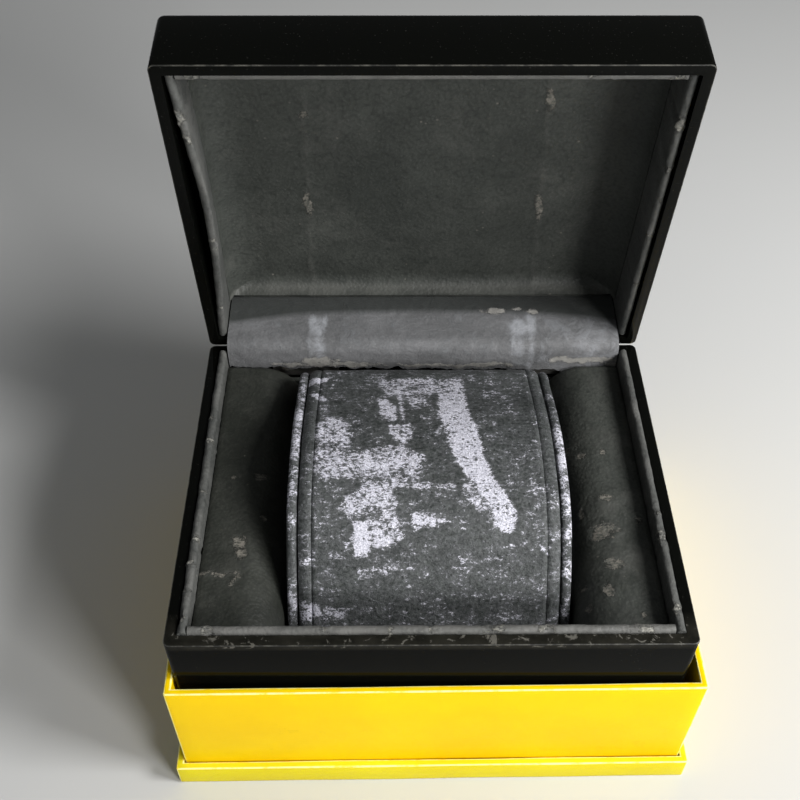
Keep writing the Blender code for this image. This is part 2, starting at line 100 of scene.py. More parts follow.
def pick(piece, kind, wanted):
    # leaves the piece in edit mode with the wanted faces or edges selected
    only(piece)
    bpy.ops.object.mode_set(mode='EDIT')
    bpy.ops.mesh.select_mode(type=kind)
    bpy.ops.mesh.select_all(action='DESELECT')
    mesh = bmesh.from_edit_mesh(piece.data)
    for part in (mesh.faces if kind == 'FACE' else mesh.edges):
        part.select_set(wanted(part))
    mesh.select_flush_mode()
    bmesh.update_edit_mesh(piece.data)


def editWhole(piece):
    only(piece)
    bpy.ops.object.mode_set(mode='EDIT')
    bpy.ops.mesh.select_all(action='SELECT')


def leaveEdit():
    bpy.ops.object.mode_set(mode='OBJECT')


def roundEdges(piece, wanted, width, segments, material=-1):
    pick(piece, 'EDGE', wanted)
    bpy.ops.mesh.bevel(offset=width, segments=segments, affect='EDGES', material=material)
    leaveEdit()


def isUpright(edge):
    first, second = (vertex.co for vertex in edge.verts)
    return (first - second).xy.length < 1e-6 and abs(first.z - second.z) > 1e-4


def isSharp(edge):
    return len(edge.link_faces) == 2 and edge.calc_face_angle(0) > math.radians(30)


def applyAll(piece):
    only(piece)
    for step in list(piece.modifiers):
        bpy.ops.object.modifier_apply(modifier=step.name)


def cutWith(piece, cutter):
    step = piece.modifiers.new("cut", 'BOOLEAN')
    step.operation = 'DIFFERENCE'
    step.solver = 'EXACT'
    step.object = cutter
    applyAll(piece)
    bpy.data.objects.remove(cutter)


def smooth(piece, degrees=30):
    only(piece)
    bpy.ops.object.shade_smooth_by_angle(angle=math.radians(degrees))


def cutRings(piece, axis, step):
    # extra edge rings at even steps along one axis
    low = min(vertex.co[axis] for vertex in piece.data.vertices)
    high = max(vertex.co[axis] for vertex in piece.data.vertices)
    count = max(2, round((high - low) / step))
    normal = [0.0, 0.0, 0.0]
    normal[axis] = 1.0
    editWhole(piece)
    for i in range(1, count):
        place = [0.0, 0.0, 0.0]
        place[axis] = low + (high - low) * i / count
        bpy.ops.mesh.select_all(action='SELECT')
        bpy.ops.mesh.bisect(plane_co=place, plane_no=normal)
    leaveEdit()


def fractal(place, size, shift=0.0):
    # -1 to 1, size in metres
    where = Vector(place) / size + Vector((shift, shift * 1.7, shift * 2.3))
    return noise.fractal(where, 1.0, 2.0, 3, noise_basis='PERLIN_ORIGINAL')


def fade(distance, reach):
    # 1 on a line or edge, 0 from its reach outwards
    return max(0.0, 1 - abs(distance) / reach)


def roughen(piece, amount, size):
    normals = [vertex.normal.copy() for vertex in piece.data.vertices]
    for vertex, normal in zip(piece.data.vertices, normals):
        vertex.co += normal * amount * fractal(vertex.co, size)
    piece.data.update()


def paintList(piece, name, shades):
    layer = piece.data.attributes.new(name, 'FLOAT', 'POINT')
    for place, shade in zip(layer.data, shades):
        place.value = shade


def paint(piece, name, value):
    paintList(piece, name, [value(vertex.co) for vertex in piece.data.vertices])


def turnFaces(piece, sign):
    # turns an open sheet over where needed: most faces look up for 1, down for -1
    if sign * sum(face.normal.z * face.area for face in piece.data.polygons) < 0:
        piece.data.flip_normals()


def inside(x, y, outline):
    # distance in metres to the edge of an outline, positive inside
    near, within = 1.0, False
    for (ax, ay), (bx, by) in zip(outline, outline[1:] + outline[:1]):
        dx, dy = bx - ax, by - ay
        share = min(1.0, max(0.0, ((x - ax) * dx + (y - ay) * dy) / (dx * dx + dy * dy)))
        near = min(near, math.hypot(x - ax - share * dx, y - ay - share * dy))
        if (ay > y) != (by > y) and x < ax + dx * (y - ay) / dy:
            within = not within
    return near if within else -near


def spots(x, y, marks, shift=0.0):
    # how far into the nearest mark a point lies, for marks in millimetres
    value = 0.0
    for centreX, centreY, halfWide, halfLong in marks:
        away = math.hypot((x * 1000 - centreX) / halfWide, (y * 1000 - centreY) / halfLong)
        if away < 2.0:
            away += 0.55 * fractal((x, y, 0.0), 0.0035, shift)
            value = max(value, min(1.0, 1.45 - 0.95 * away))
    return value


def curl(mark):
    # the raised rim round a torn spot
    return fade(mark - 0.35, 0.25)


def resample(path, step):
    total = sum(math.dist(a, b) for a, b in zip(path, path[1:]))
    count = max(2, round(total / step))
    made, travelled, i = [], 0.0, 0
    for k in range(count + 1):
        goal = total * k / count
        while i < len(path) - 2 and travelled + math.dist(path[i], path[i + 1]) < goal:
            travelled += math.dist(path[i], path[i + 1])
            i += 1
        share = (goal - travelled) / max(math.dist(path[i], path[i + 1]), 1e-9)
        made.append(tuple(p + (q - p) * min(share, 1.0) for p, q in zip(path[i], path[i + 1])))
    return made


def normalOut(path, i):
    ahead = path[min(i + 1, len(path) - 1)]
    behind = path[max(i - 1, 0)]
    run = math.dist(ahead, behind)
    return (behind[1] - ahead[1]) / run, (ahead[0] - behind[0]) / run


def makeMesh(name, points, faces):
    mesh = bpy.data.meshes.new(name)
    mesh.from_pydata([tuple(point) for point in points], [], faces)
    mesh.update()
    piece = bpy.data.objects.new(name, mesh)
    bpy.context.collection.objects.link(piece)
    return piece


def gridFaces(rows, columns):
    return [(r * columns + c, r * columns + c + 1, (r + 1) * columns + c + 1, (r + 1) * columns + c)
            for r in range(rows - 1) for c in range(columns - 1)]


def thicken(piece, thickness, offset=-1):
    step = piece.modifiers.new("thickness", 'SOLIDIFY')
    step.thickness = thickness
    step.offset = offset
    applyAll(piece)


def faceOut(piece):
    editWhole(piece)
    bpy.ops.mesh.normals_make_consistent(inside=False)
    leaveEdit()


def swingOpen(piece):
    piece.data.transform(openLid)
    piece.data.update()


def dress(piece, *materials):
    piece.data.materials.clear()
    for material in materials:
        piece.data.materials.append(material)


def settle(piece, body, slotName, *nodes):
    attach(piece, body)
    if nodes:
        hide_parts(*nodes)


def makePadded(piece, thickness, leather, body, slotName, node):
    # a tight cover over thin foam
    thicken(piece, thickness)
    smooth(piece, 60)
    dress(piece, leather)
    if body == "lid":
        swingOpen(piece)
    settle(piece, body, slotName, node)


# materials

class Finish:
    # a material with a few short ways to wire its nodes
    def __init__(self, name):
        self.material = bpy.data.materials.new(name)
        self.material.use_nodes = True
        self.nodes = self.material.node_tree.nodes
        self.links = self.material.node_tree.links
        self.shader = self.nodes["Principled BSDF"]
        self.place = self.nodes.new("ShaderNodeTexCoord").outputs["Object"]

    def feed(self, socket, value):
        if isinstance(value, bpy.types.NodeSocket):
            self.links.new(value, socket)
        elif socket.type == 'RGBA':
            socket.default_value = (*value, 1.0)
        else:
            socket.default_value = value

    def add(self, kind, inputs=(), **settings):
        node = self.nodes.new("ShaderNode" + kind)
        for key, value in settings.items():
            setattr(node, key, value)
        for key, value in dict(inputs).items():
            self.feed(node.inputs[key], value)
        return node

    def noise(self, scale, detail=4.0, roughness=0.55, stretch=None, turn=(0, 0, 0), distortion=0.0):
        place = self.place
        if stretch:
            place = self.add("Mapping", {"Vector": place, "Scale": stretch,
                                         "Rotation": turn}).outputs["Vector"]
        return self.add("TexNoise", {"Vector": place, "Scale": scale, "Detail": detail,
                                     "Roughness": roughness,
                                     "Distortion": distortion}).outputs["Fac"]

    def cells(self, scale, feature='F1'):
        node = self.add("TexVoronoi", {"Vector": self.place, "Scale": scale}, feature=feature)
        return node.outputs["Distance"]

    def maths(self, operation, first, second=0.0):
        return self.add("Math", {0: first, 1: second}, operation=operation).outputs[0]

    def plus(self, first, second):
        return self.maths('ADD', first, second)

    def times(self, first, second):
        return self.maths('MULTIPLY', first, second)

    def between(self, value, low, high, out=(0.0, 1.0)):
        node = self.add("MapRange", {"Value": value, "From Min": low, "From Max": high,
                                     "To Min": out[0], "To Max": out[1]})
        return node.outputs["Result"]

    def swing(self, value, reach):
        return self.between(value, 0.0, 1.0, (-reach, reach))

    def mix(self, factor, first, second):
        return self.add("Mix", {0: factor, 6: first, 7: second}, data_type='RGBA').outputs[2]

    def stain(self, tone, value, low, high, colour, most=1.0):
        # a colour laid over the tone where a value goes from low to high
        return self.mix(self.between(value, low, high, (0.0, most)), tone, colour)

    def attribute(self, name):
        return self.add("Attribute", attribute_name=name).outputs["Fac"]

    def set(self, name, value):
        self.feed(self.shader.inputs[name], value)

    def finish(self, colour, roughness, *layers, specular=0.5):
        # layers of (height, distance in metres) for the bump, coarse first
        self.set("Base Color", colour)
        self.set("Roughness", roughness)
        self.set("Specular IOR Level", specular)
        normal = None
        for height, distance in layers:
            inputs = {"Height": height, "Distance": distance, "Strength": 1.0}
            if normal:
                inputs["Normal"] = normal
            normal = self.add("Bump", inputs).outputs["Normal"]
        self.links.new(normal, self.shader.inputs["Normal"])
        return self.material


mouldingLook = {"colour": (0.0024, 0.0026, 0.0021), "dust": (0.10, 0.098, 0.088),
                "paleBand": (0.019, 0.018, 0.014), "crumb": (0.105, 0.100, 0.086),
                "gloss": 0.05, "edge": (0.075, 0.072, 0.060)}


def blackMoulding():
    made = Finish("blackMoulding")
    haze = made.noise(60.0, 5.0)
    speck = made.cells(620.0)
    fleck = made.noise(1500.0, 2.0)
    few = made.times(made.between(speck, 0.09, 0.05), made.between(haze, 0.56, 0.68, (0.0, 0.6)))
    wisp = made.times(made.between(fleck, 0.70, 0.76), 0.25)
    dust = made.maths('MAXIMUM', few, wisp)
    # a paler band in patches along the top of the front rim, and crumbs of lining on it
    place = made.add("SeparateXYZ", {"Vector": made.place})
    front = made.between(place.outputs["Y"], -0.0505, -0.0565)
    level = made.maths('ABSOLUTE', made.maths('SUBTRACT', place.outputs["Z"], rimZ))
    patches = made.between(made.noise(140.0, 6.0, 0.7), 0.35, 0.65, (0.35, 1.0))
    paleBand = made.times(made.times(front, made.between(level, 0.0030, 0.0012)), patches)
    crumb = made.between(made.noise(260.0, 6.0, 0.68, distortion=0.6), 0.585, 0.625)
    crumb = made.times(crumb, made.times(front, made.between(level, 0.0016, 0.0008)))
    tone = made.mix(paleBand, mouldingLook["colour"], mouldingLook["paleBand"])
    tone = made.mix(crumb, tone, mouldingLook["crumb"])
    tone = made.mix(dust, tone, mouldingLook["dust"])
    scratch = made.noise(90.0, 3.0, stretch=(1.0, 14.0, 14.0), turn=(0.0, 0.0, 0.35))
    gloss = made.between(haze, 0.35, 0.75, (mouldingLook["gloss"], mouldingLook["gloss"] + 0.10))
    return made.finish(tone, made.plus(gloss, made.times(dust, 0.5)),
                       (haze, 0.00003), (scratch, 0.000008), specular=0.055)


def wornEdge():
    made = Finish("wornEdge")
    along = made.noise(260.0, 6.0, 0.7)
    broken = made.between(along, 0.46, 0.60)
    tone = made.mix(broken, (0.012, 0.012, 0.010), mouldingLook["edge"])
    return made.finish(tone, 0.5, (along, 0.0002))


leatherLook = {"colour": (0.030, 0.033, 0.029), "pale": (0.053, 0.057, 0.050),
               "rubAndPaintedLight": (0.105, 0.105, 0.095), "bare": (0.190, 0.176, 0.150), "grain": 950.0}


def leatherette(name, look):
    made = Finish(name)
    cloud = made.noise(34.0, 6.0, 0.66)
    fine = made.noise(look["grain"] * 1.7, 3.0, 0.6)
    grain = made.cells(look["grain"], 'SMOOTH_F1')
    wire = made.noise(170.0, 7.0, 0.74, distortion=0.7)
    tone = made.mix(made.between(cloud, 0.34, 0.68), look["colour"], look["pale"])
    tone = made.stain(tone, fine, 0.56, 0.74, look["rubAndPaintedLight"], 0.28)
    tone = made.stain(tone, grain, 0.35, 0.75, (0.012, 0.013, 0.012), 0.45)
    speck = made.times(made.between(made.cells(210.0), 0.10, 0.05),
                       made.between(made.noise(52.0, 2.0), 0.54, 0.62))
    tone = made.mix(made.times(speck, 0.55), tone, look["bare"])
    # the rub colour follows a painted mask: real wear, and on the lip crests, the front lips and the
    # ceiling's rear roll also painted highlight
    worn = made.plus(made.attribute("wearAndHighlight"), made.swing(wire, 0.5))
    tone = made.stain(tone, worn, 0.10, 0.95, look["rubAndPaintedLight"], 0.9)
    fray = made.noise(310.0, 7.0, 0.82, distortion=0.9)
    torn = made.plus(made.attribute("bare"), made.swing(fray, 1.5))
    flaked = made.between(torn, 0.50, 0.66)
    fibre = made.noise(520.0, 5.0, 0.78, stretch=(1.0, 2.6, 1.0), turn=(0.0, 0.0, 0.5))
    bare = made.mix(made.between(fibre, 0.40, 0.60), look["bare"], look["pale"])
    tone = made.mix(flaked, tone, bare)
    return made.finish(tone, made.between(cloud, 0.3, 0.7, (0.46, 0.62)), (wire, 0.00018),
                       (grain, 0.00014), (fine, 0.00008), (flaked, 0.00022), specular=0.34)


saddleLook = {"colour": (0.025, 0.030, 0.028), "pale": (0.080, 0.087, 0.083),
              "rubbed": (0.150, 0.152, 0.160), "peeled": (0.80, 0.79, 0.87), "dull": (0.36, 0.36, 0.42)}


def saddleLeather():
    made = Finish("saddleLeather")
    cloud = made.noise(60.0, 6.0, 0.7)
    grit = made.noise(950.0, 4.0, 0.72)
    fine = made.noise(2200.0, 2.0, 0.6)
    fray = made.noise(820.0, 6.0, 0.80, stretch=(0.75, 1.3, 1.0), distortion=0.6)
    broad = made.noise(170.0, 5.0, 0.7)
    scrape = made.noise(420.0, 4.0, 0.7, stretch=(0.35, 1.8, 1.0))
    tone = made.mix(made.between(cloud, 0.32, 0.70), saddleLook["colour"], saddleLook["pale"])
    tone = made.mix(made.between(grit, 0.42, 0.56, (0.75, 0.0)), tone, (0.013, 0.015, 0.014))
    tone = made.stain(tone, grit, 0.60, 0.74, (0.24, 0.25, 0.25), 0.55)
    peel = made.attribute("peel")
    ragged = made.plus(made.swing(fray, 1.10), made.swing(broad, 0.50))
    ragged = made.plus(ragged, made.swing(scrape, 0.25))
    ragged = made.times(ragged, made.between(peel, 0.0, 0.5, (0.34, 1.0)))
    push = made.plus(peel, ragged)
    tone = made.stain(tone, push, 0.12, 0.55, saddleLook["rubbed"], 0.60)
    crumb = made.noise(1150.0, 3.0, 0.6, stretch=(0.7, 1.2, 1.0), distortion=0.8)
    pit = made.maths('MAXIMUM', made.between(crumb, 0.545, 0.60),
                     made.between(made.cells(430.0), 0.26, 0.16))
    pit = made.times(pit, made.between(made.noise(230.0, 3.0), 0.34, 0.54))
    push = made.maths('SUBTRACT', push, made.times(pit, 0.62))
    bare = made.between(push, 0.44, 0.60)
    white = made.mix(made.between(fine, 0.34, 0.62), saddleLook["dull"], saddleLook["peeled"])
    tone = made.mix(bare, tone, white)
    dot = made.times(made.between(made.cells(420.0), 0.17, 0.11),
                     made.between(made.noise(90.0, 2.0), 0.44, 0.52))
    tone = made.mix(made.times(dot, 0.85), tone, (0.012, 0.013, 0.013))
    return made.finish(tone, made.between(grit, 0.3, 0.7, (0.40, 0.62)), (cloud, 0.0004),
                       (push, 0.00010), (grit, 0.00028), (fine, 0.00006), specular=0.42)


# the dark soil colour gives random mottles, and also the painted shade on the flap's top band
flapLook = {"colour": (0.102, 0.102, 0.104), "pale": (0.178, 0.178, 0.183),
            "soilAndPaintedShade": (0.026, 0.029, 0.027), "peeled": (0.34, 0.325, 0.30)}


def flapCloth():
    made = Finish("flapCloth")
    cloud = made.noise(46.0, 6.0, 0.66, stretch=(0.7, 1.5, 1.5))
    fine = made.noise(1300.0, 3.0, 0.6)
    wire = made.noise(190.0, 7.0, 0.76, distortion=0.8)
    tone = made.mix(made.between(cloud, 0.34, 0.68), flapLook["colour"], flapLook["pale"])
    tone = made.mix(made.between(fine, 0.4, 0.7, (0.25, 0.0)), tone, flapLook["soilAndPaintedShade"])
    tone = made.stain(tone, wire, 0.52, 0.68, flapLook["soilAndPaintedShade"], 0.50)
    bright = made.plus(made.attribute("rubAndPaintedLight"), made.swing(wire, 0.9))
    tone = made.stain(tone, bright, 0.1, 0.9, (0.33, 0.34, 0.36))
    # painted shade: the top band of the flap, shaded by the ceiling's roll, is painted dark
    dark = made.plus(made.attribute("soilAndPaintedShade"), made.swing(cloud, 0.22))
    tone = made.stain(tone, dark, 0.15, 0.85, flapLook["soilAndPaintedShade"])
    fray = made.noise(300.0, 7.0, 0.82, distortion=0.9)
    torn = made.plus(made.attribute("bare"), made.swing(fray, 1.4))
    flaked = made.between(torn, 0.46, 0.78)
    tone = made.mix(flaked, tone, made.mix(fine, flapLook["peeled"], (0.19, 0.185, 0.17)))
    made.set("Sheen Weight", 0.12)
    return made.finish(tone, 0.60, (cloud, 0.0010), (wire, 0.00040), (fine, 0.00008),
                       (flaked, 0.0003))


paperLook = {"colour": (0.98, 0.68, 0.001), "warm": (0.92, 0.60, 0.001), "edge": (1.0, 0.92, 0.34)}


def yellowPaper(name, colour, warm):
    made = Finish(name)
    cloud = made.noise(22.0, 4.0)
    fibre = made.noise(700.0, 4.0, 0.65)
    scuff = made.noise(120.0, 6.0, 0.75, stretch=(1.0, 1.0, 2.5))
    tone = made.mix(made.between(cloud, 0.35, 0.65), colour, warm)
    tone = made.stain(tone, scuff, 0.68, 0.78, paperLook["edge"], 0.45)
    grime = made.between(made.noise(75.0, 6.0, 0.75), 0.62, 0.78, (0.0, 0.30))
    tone = made.mix(grime, tone, (0.42, 0.26, 0.02))
    return made.finish(tone, made.between(fibre, 0.3, 0.7, (0.40, 0.55)), (cloud, 0.0004),
                       (fibre, 0.00004), specular=0.09)


def paperEdge():
    made = Finish("paperEdge")
    along = made.noise(240.0, 6.0, 0.7)
    tone = made.stain(paperLook["colour"], along, 0.32, 0.52, paperLook["edge"])
    return made.finish(tone, 0.45, (along, 0.00025))


def greyCard():
    made = Finish("greyCard")
    fibre = made.noise(500.0, 5.0, 0.7)
    layer = made.noise(60.0, 4.0, stretch=(1.0, 1.0, 12.0))
    tone = made.mix(made.between(fibre, 0.3, 0.7), (0.06, 0.062, 0.06), (0.11, 0.11, 0.105))
    tone = made.stain(tone, layer, 0.6, 0.75, (0.16, 0.155, 0.14), 0.4)
    return made.finish(tone, 0.85, (fibre, 0.0001))


def platedSteel():
    made = Finish("platedSteel")
    brushed = made.noise(500.0, 3.0, stretch=(1.0, 12.0, 12.0))
    stain = made.noise(140.0, 5.0, 0.65)
    tone = made.stain((0.55, 0.53, 0.50), stain, 0.52, 0.72, (0.26, 0.19, 0.12))
    made.set("Metallic", 1.0)
    return made.finish(tone, made.between(brushed, 0.3, 0.7, (0.26, 0.46)), (brushed, 0.00003))


moulding, edgeWear = blackMoulding(), wornEdge()
lining = leatherette("liningLeather", leatherLook)
padLeather = leatherette("padLeather", dict(leatherLook, colour=(0.032, 0.035, 0.030)))
# painted shade: a darker copy of the pad leather for the left pad, which lies in the saddle's shadow
paintedShadeLeather = leatherette("paintedShadeLeather", dict(leatherLook, colour=(0.017, 0.019, 0.015),
                                                  pale=(0.034, 0.036, 0.030), rubAndPaintedLight=(0.080, 0.080, 0.070)))
lipLook = dict(leatherLook, colour=(0.050, 0.053, 0.050), pale=(0.080, 0.082, 0.077),
               rubAndPaintedLight=(0.155, 0.152, 0.142), bare=(0.30, 0.29, 0.255))
lipLeather = leatherette("lipLeather", lipLook)
saddleCover = saddleLeather()
flapCover = flapCloth()
shoulderPaper = yellowPaper("shoulderPaper", paperLook["colour"], paperLook["warm"])
plinthPaper = yellowPaper("plinthPaper", (0.80, 0.69, 0.016), (0.74, 0.60, 0.010))
paperRim = paperEdge()
card = greyCard()
steel = platedSteel()
print("materials done")


# moulded shells

shellValues = {"corner": 0.0020, "arris": 0.00028, "bevelIn": 0.0080, "bevelHeight": 0.0077,
               "softBevel": 0.0010, "wall": 0.0034, "floor": 0.0030, "foot": 0.0006,
               "inner": 0.0006, "band": 0.0022, "inset": 0.0021, "notch": 0.0021}


def outsideRim(piece, z):
    # edges where the flat rim meets the outer wall
    hx = max(abs(vertex.co.x) for vertex in piece.data.vertices)
    hy = max(abs(vertex.co.y) for vertex in piece.data.vertices)

    def wanted(edge):
        first, second = (vertex.co for vertex in edge.verts)
        if abs(first.z - z) > 1e-5 or abs(second.z - z) > 1e-5 or not isSharp(edge):
            return False
        middle = (first + second) / 2
        band = shellValues["band"]
        return abs(middle.x) > hx - band or abs(middle.y) > hy - band
    return wanted


def knuckleNotches(z):
    # room for the hinge knuckles in the rear rim
    cutters, reach = [], shellValues["notch"]
    for label in ("left", "right"):
        low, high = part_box("hinge_pin_" + label)
        cutters.append(addBlock("cutter", (low.x - gap, baseHigh.y - 0.006, z - reach),
                                (high.x + gap, baseHigh.y + 0.002, z + reach)))
    return cutters


def drawUp(piece, rise, drawIn, halfX, halfY, top):
    # pulls the top face up and draws it in, for the slope round the lid
    pick(piece, 'FACE', lambda face: face.normal.z > 0.9)
    bpy.ops.mesh.extrude_region_move(TRANSFORM_OT_translate={"value": (0, 0, rise)})
    bpy.ops.transform.resize(value=(1 - drawIn / halfX, 1 - drawIn / halfY, 1),
                             center_override=(0, 0, top))
    leaveEdit()


def shellBase():
    values = shellValues
    piece = addBlock("boxBaseMoulding", baseLow, baseHigh)
    dress(piece, moulding, edgeWear)
    roundEdges(piece, isUpright, values["corner"], 6)
    wall = Vector((values["wall"], values["wall"], 0))
    cavity = addBlock("cutter", baseLow + wall + Vector((0, 0, values["floor"])),
                      baseHigh - wall + Vector((0, 0, 0.01)))
    roundEdges(cavity, isUpright, values["inner"], 3)
    cutWith(piece, cavity)
    for cutter in knuckleNotches(rimZ):
        cutWith(piece, cutter)
    roundEdges(piece, outsideRim(piece, rimZ), values["arris"], 2, 1)
    roundEdges(piece, outsideRim(piece, baseLow.z), values["foot"], 3)
    smooth(piece)
    settle(piece, "box", "black_moulding", "base_shell")


def shellLid():
    values = shellValues
    low, high = closedBox("lid_shell")
    bandTop = high.z - values["bevelHeight"]
    piece = addBlock("boxLidMoulding", low, (high.x, high.y, bandTop))
    dress(piece, moulding, edgeWear)
    roundEdges(piece, isUpright, values["corner"], 6)
    drawUp(piece, values["bevelHeight"], values["bevelIn"], high.x, high.y, high.z)
    wall = values["wall"]
    cavity = addBlock("cutter", (low.x + wall, low.y + wall, low.z - 0.01),
                      (high.x - wall, high.y - wall, bandTop))
    roundEdges(cavity, isUpright, values["inner"], 3)
    rise = high.z - values["floor"] - bandTop
    drawUp(cavity, rise, values["bevelIn"] * rise / values["bevelHeight"], high.x - wall,
           high.y - wall, high.z)
    cutWith(piece, cavity)
    for cutter in knuckleNotches(low.z):
        cutWith(piece, cutter)
    roundEdges(piece, outsideRim(piece, low.z), values["arris"], 2, 1)

    def bevelLine(edge):
        first, second = (vertex.co for vertex in edge.verts)
        if abs(first.z - second.z) > 1e-5:
            return False
        if abs(first.z - high.z) < 1e-4:
            return len(edge.link_faces) == 2 and edge.calc_face_angle(0) > math.radians(20)
        outside = max(abs(first.x) - high.x, abs(first.y) - high.y) + values["inset"]
        return abs(first.z - bandTop) < 1e-4 and outside > -1e-5
    roundEdges(piece, bevelLine, values["softBevel"], 3)
    smooth(piece)
    swingOpen(piece)
    settle(piece, "lid", "black_moulding", "lid_shell")


shellBase()
shellLid()
print("moulded shells done")


# carton

cartonValues = {"turn": math.radians(0.5), "corner": 0.0006, "fold": 0.00045, "shoulderBoard": 0.0021,
                "plinthBoard": 0.0024, "floor": 0.0020, "step": 0.006, "warp": 0.00012, "warpSize": 0.035}


def squareSize(node):
    # a node's own width and depth, from its box and its small turn
    low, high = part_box(node)
    wide, deep = high.x - low.x, high.y - low.y
    c, s = math.cos(cartonValues["turn"]), math.sin(cartonValues["turn"])
    scale = c * c - s * s
    return (wide * c - deep * s) / scale, (deep * c - wide * s) / scale, (low + high) / 2


def cartonTray(name, node, board, floor, colour):
    low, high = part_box(node)
    width, depth, centre = squareSize(node)
    piece = addBlock(name, (-width / 2, -depth / 2, low.z), (width / 2, depth / 2, high.z))
    dress(piece, colour, paperRim)
    roundEdges(piece, isUpright, cartonValues["corner"], 4, 1)
    bottom = low.z + floor if floor else low.z - 0.01
    hollow = addBlock("cutter", (board - width / 2, board - depth / 2, bottom),
                      (width / 2 - board, depth / 2 - board, high.z + 0.01))
    cutWith(piece, hollow)

    def foldAt(z):
        return lambda edge: isSharp(edge) and all(abs(vertex.co.z - z) < 1e-5 for vertex in edge.verts)
    roundEdges(piece, foldAt(high.z), cartonValues["fold"], 3, 1)
    roundEdges(piece, foldAt(low.z), cartonValues["fold"], 2, 1)
    for axis in (0, 1):
        cutRings(piece, axis, cartonValues["step"])
    roughen(piece, cartonValues["warp"], cartonValues["warpSize"])
    for vertex in piece.data.vertices:
        vertex.co.z = max(vertex.co.z, low.z)
    smooth(piece)
    piece.data.transform(Matrix.Translation((centre.x, centre.y, 0))
                         @ Matrix.Rotation(cartonValues["turn"], 4, 'Z'))
    piece.data.update()
    settle(piece, "carton", "yellow_paper", node)


cartonTray("cartonShoulder", "carton_shoulder", cartonValues["shoulderBoard"], 0, shoulderPaper)
cartonTray("cartonBase", "carton_base", cartonValues["plinthBoard"], cartonValues["floor"],
           plinthPaper)
print("carton done")


# lining boards with a rolled lip

lipValues = {"roll": 0.00125, "step": 0.0012, "ripple": 0.00020, "rippleSize": 0.009,
             "nick": 0.00045, "nickSize": 0.0020, "reach": 0.0032, "bow": 0.0034, "bowReach": 0.012}

# torn spots along the lips in millimetres: place along the lip, half length
lipTears = {"baseLip_left": [(25.5, 1.2), (15, 1.6), (-6, 0.9), (-24.5, 1.8), (-33.5, 1.5), (-43, 1.2),
                             (-52, 3)],
            "baseLip_right": [(33, 1), (8, 0.8), (-15, 1.6), (-24.5, 5), (-50, 3)],
            "baseLip_front": [(-65, 3), (-31, 2.2), (0, 1.8), (18, 5), (33, 4), (62, 5), (-12, 1.4)],
            "lidLip_left": [(-42, 5), (-34, 3), (8, 1.6), (12, 1.2), (42, 1.4)],
            "lidLip_right": [(-40, 5), (-22, 1.6), (-10, 2), (6, 1.2), (30, 1.8)],
            "lidLip_front": [(-66, 5), (-15, 1), (15, 1.2), (44, 1.6), (50, 1.2), (68, 4)]}


def lippedBoard(name, low, high, crestUp, seed):
    piece = addBlock(name, low, high)
    crest = high.z if crestUp else low.z
    length = high - low
    axis = 0 if length.x > length.y else 1

    def onCrest(edge):
        a, b = (vertex.co for vertex in edge.verts)
        return abs(a.z - crest) < 1e-5 and abs(b.z - crest) < 1e-5 and abs(a[axis] - b[axis]) > 1e-3
    roundEdges(piece, onCrest, lipValues["roll"], 5)
    cutRings(piece, axis, lipValues["step"])
    sign = 1 if crestUp else -1

    def nearCrest(co):
        return max(0.0, 1.0 - (crest - co.z) * sign / lipValues["reach"])

    def tear(co):
        value = 0.0
        for place, half in lipTears[name]:
            value = max(value, 1.2 - abs(co[axis] * 1000 - place) / half)
        return min(1.0, value)
    for vertex in piece.data.vertices:
        share = nearCrest(vertex.co)
        wave = fractal((vertex.co[axis], 0, seed), lipValues["rippleSize"], seed)
        nick = fractal(vertex.co, lipValues["nickSize"], seed * 3)
        nick *= lipValues["nick"] * (0.3 + 1.3 * max(0.0, tear(vertex.co)))
        wave *= lipValues["ripple"]
        vertex.co[1 - axis] += share * (wave * 1.3 + nick * 1.6)
        vertex.co.z -= sign * share * max(-0.0002, wave + nick)
    piece.data.update()
    plain, crestShare = (0.34, 0.42) if axis == 0 else (0.10, 0.22)   # painted highlight: the front lips are painted paler
    # painted highlight: the wear mask rises towards the crest, where the rolled lip catches light, on top
    # of real crest wear
    paint(piece, "wearAndHighlight", lambda co: plain + (crestShare + 0.35 * fractal(co, 0.012, seed + 4))
          * nearCrest(co))
    paint(piece, "bare", lambda co: 0.70 * tear(co) * nearCrest(co))
    smooth(piece, 50)
    dress(piece, lipLeather)
    return piece


def allLips():
    for number, side in enumerate(("left", "right", "front")):
        node = "base_liner_" + side
        low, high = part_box(node)
        piece = lippedBoard("baseLip_" + side, low, high, True, 2.1 + number)
        settle(piece, "box", "grey_leatherette", node)
    for number, side in enumerate(("left", "right", "front")):
        node = "lid_liner_" + side
        low, high = closedBox(node)
        piece = lippedBoard("lidLip_" + side, low, high, False, 6.3 + number)
        if side == "left":
            span = high.y - low.y
            for vertex in piece.data.vertices:
                share = max(0.0, 1.0 - (vertex.co.z - low.z) / lipValues["bowReach"])
                along = min(1.0, max(0.0, (vertex.co.y - low.y) / span))
                vertex.co.x += lipValues["bow"] * share * max(0.0, math.sin(math.pi * along)) ** 1.4
            piece.data.update()
        swingOpen(piece)
        settle(piece, "lid", "grey_leatherette", node)


allLips()
print("lining boards done")


# side pads

padValues = {"flat": 0.0115, "fall": 0.0140, "thickness": 0.0022, "step": 0.0008,
             "swell": 0.0004, "pucker": 0.00010, "edgeDrop": 0.0007, "edgeReach": 0.0016,
             "crackY": -0.0335, "crackEnd": -0.0575, "crackDepth": 0.00030, "crackWidth": 0.0013,
             "branchX": -0.0598, "branchReach": (-0.0385, -0.0330), "curl": 0.00025,
             "flake": 0.00012}


